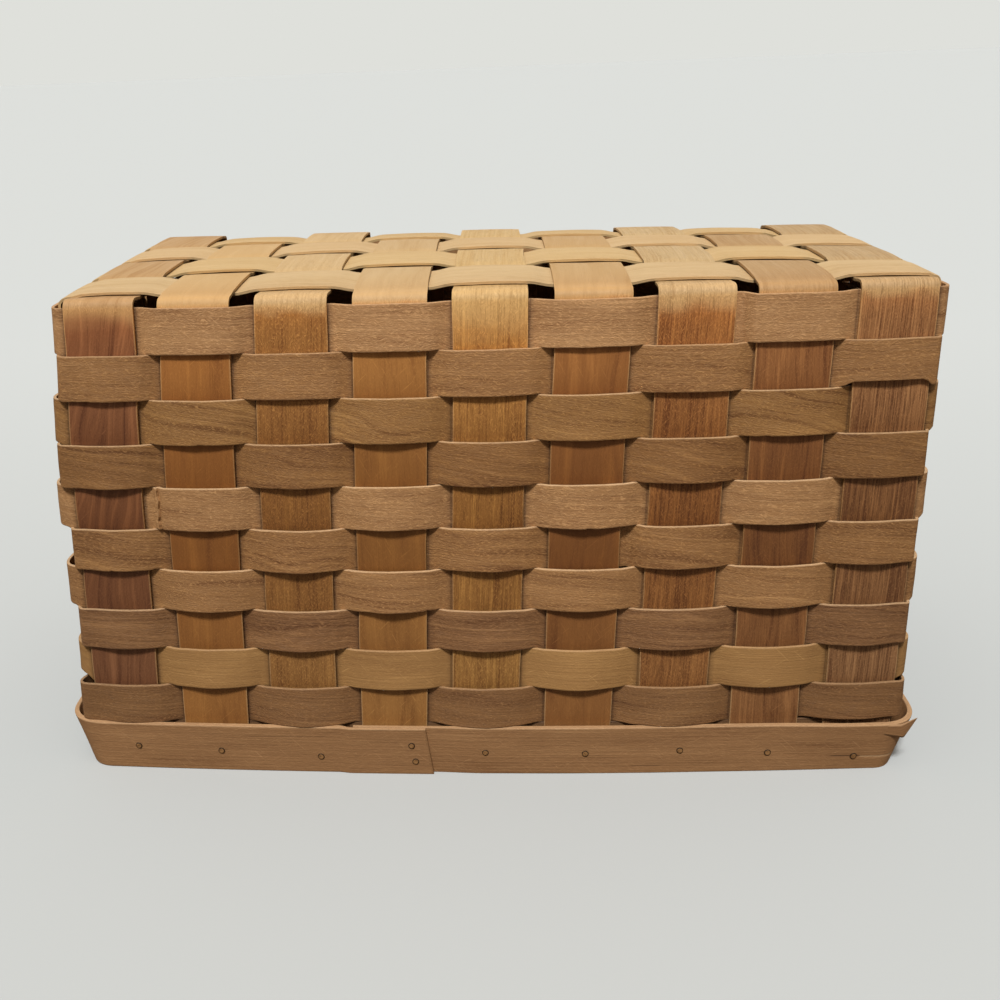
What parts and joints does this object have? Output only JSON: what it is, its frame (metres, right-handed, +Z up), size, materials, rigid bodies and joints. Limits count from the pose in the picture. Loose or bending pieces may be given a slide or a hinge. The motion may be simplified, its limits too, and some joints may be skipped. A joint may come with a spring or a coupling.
{
  "type": "rectangular woodchip basket",
  "caption": "Rectangular basket plain-woven from flat splints of split wood, with a nailed rim band inside and out, lying upside down on its rim.",
  "frame": {"origin": "middle of the bounding box's bottom face, on the surface that the rim's lip stands on", "axes": "+Z up, from the rim's lip to the woven base, because the basket lies upside down; +X along its length, to the right as seen from the front; the long wall with the rim band's lap faces -Y"},
  "size_m": [0.305, 0.1551, 0.1744],
  "materials": {
    "transverse_splint": "bare split wood, fine straight grain along the strip, satin",
    "lengthwise_splint": "bare pale split wood, fine straight grain along the strip, satin",
    "weaver": "bare split wood with fuzzy fine grain, matt",
    "rim_band": "bare split wood with long straight grain, satin",
    "nail": "small dull brown steel heads"
  },
  "bodies": {
    "root": {"transverse_splint_1": "transverse_splint", "transverse_splint_2": "transverse_splint", "transverse_splint_3": "transverse_splint", "transverse_splint_4": "transverse_splint", "transverse_splint_5": "transverse_splint", "transverse_splint_6": "transverse_splint", "transverse_splint_7": "transverse_splint", "transverse_splint_8": "transverse_splint", "transverse_splint_9": "transverse_splint", "lengthwise_splint_1": "lengthwise_splint", "lengthwise_splint_2": "lengthwise_splint", "lengthwise_splint_3": "lengthwise_splint", "lengthwise_splint_4": "lengthwise_splint", "weaver_1": "weaver", "weaver_2": "weaver", "weaver_3": "weaver", "weaver_4": "weaver", "weaver_5": "weaver", "weaver_6": "weaver", "weaver_7": "weaver", "weaver_8": "weaver", "weaver_9": "weaver", "weaver_10": "weaver", "outer_rim_band": "rim_band", "inner_rim_band": "rim_band", "nail_front_1": "nail", "nail_front_2": "nail", "nail_front_3": "nail", "nail_front_4": "nail", "nail_front_5": "nail", "nail_front_6": "nail", "nail_front_7": "nail", "nail_front_8": "nail", "nail_front_9": "nail", "nail_right_1": "nail", "nail_right_2": "nail", "nail_right_3": "nail", "nail_right_4": "nail", "nail_back_1": "nail", "nail_back_2": "nail", "nail_back_3": "nail", "nail_back_4": "nail", "nail_back_5": "nail", "nail_back_6": "nail", "nail_back_7": "nail", "nail_back_8": "nail", "nail_back_9": "nail", "nail_left_1": "nail", "nail_left_2": "nail", "nail_left_3": "nail", "nail_left_4": "nail", "nail_lap": "nail"}
  },
  "joints": []
}
